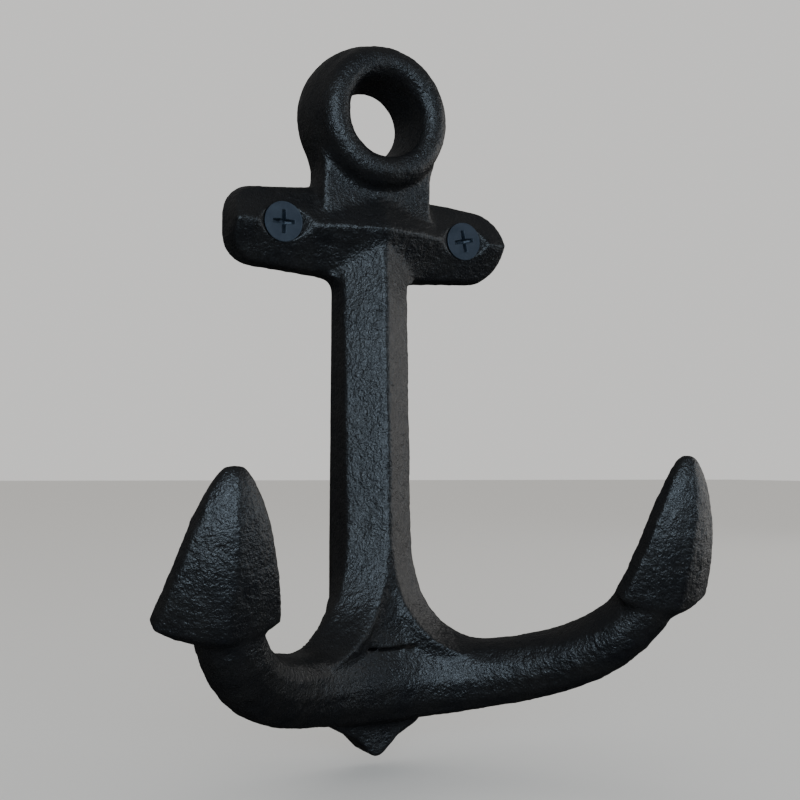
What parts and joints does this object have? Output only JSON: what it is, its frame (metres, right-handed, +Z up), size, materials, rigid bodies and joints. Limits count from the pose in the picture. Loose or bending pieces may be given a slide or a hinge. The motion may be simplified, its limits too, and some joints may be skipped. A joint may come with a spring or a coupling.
{
  "type": "anchor wall hook",
  "caption": "Cast-iron wall hook in the shape of an anchor, with a ring, a crossbar, a ridged shank and upturned arms with arrowhead flukes, held by countersunk wood screws.",
  "frame": {"origin": "on the wall face, midway between the two screws", "axes": "+X to the right as seen by someone facing the wall, +Y into the wall, +Z up"},
  "size_m": [0.1114, 0.0735, 0.1438],
  "materials": {
    "black_painted_iron": "semi-gloss black paint over pebbly sand-cast iron",
    "black_screw_steel": "blue-black phosphated steel"
  },
  "bodies": {
    "casting": {"anchor_casting": "black_painted_iron"},
    "left_screw": {"left_screw": "black_screw_steel"},
    "right_screw": {"right_screw": "black_screw_steel"}
  },
  "joints": [
    {"name": "left_screw_turn", "type": "hinge", "parent": "casting", "child": "left_screw", "pos_m": [-0.0206, 0, 0], "axis": [0, 1, 0], "continuous": true},
    {"name": "right_screw_turn", "type": "hinge", "parent": "casting", "child": "right_screw", "pos_m": [0.0206, 0, 0], "axis": [0, 1, 0], "continuous": true}
  ]
}
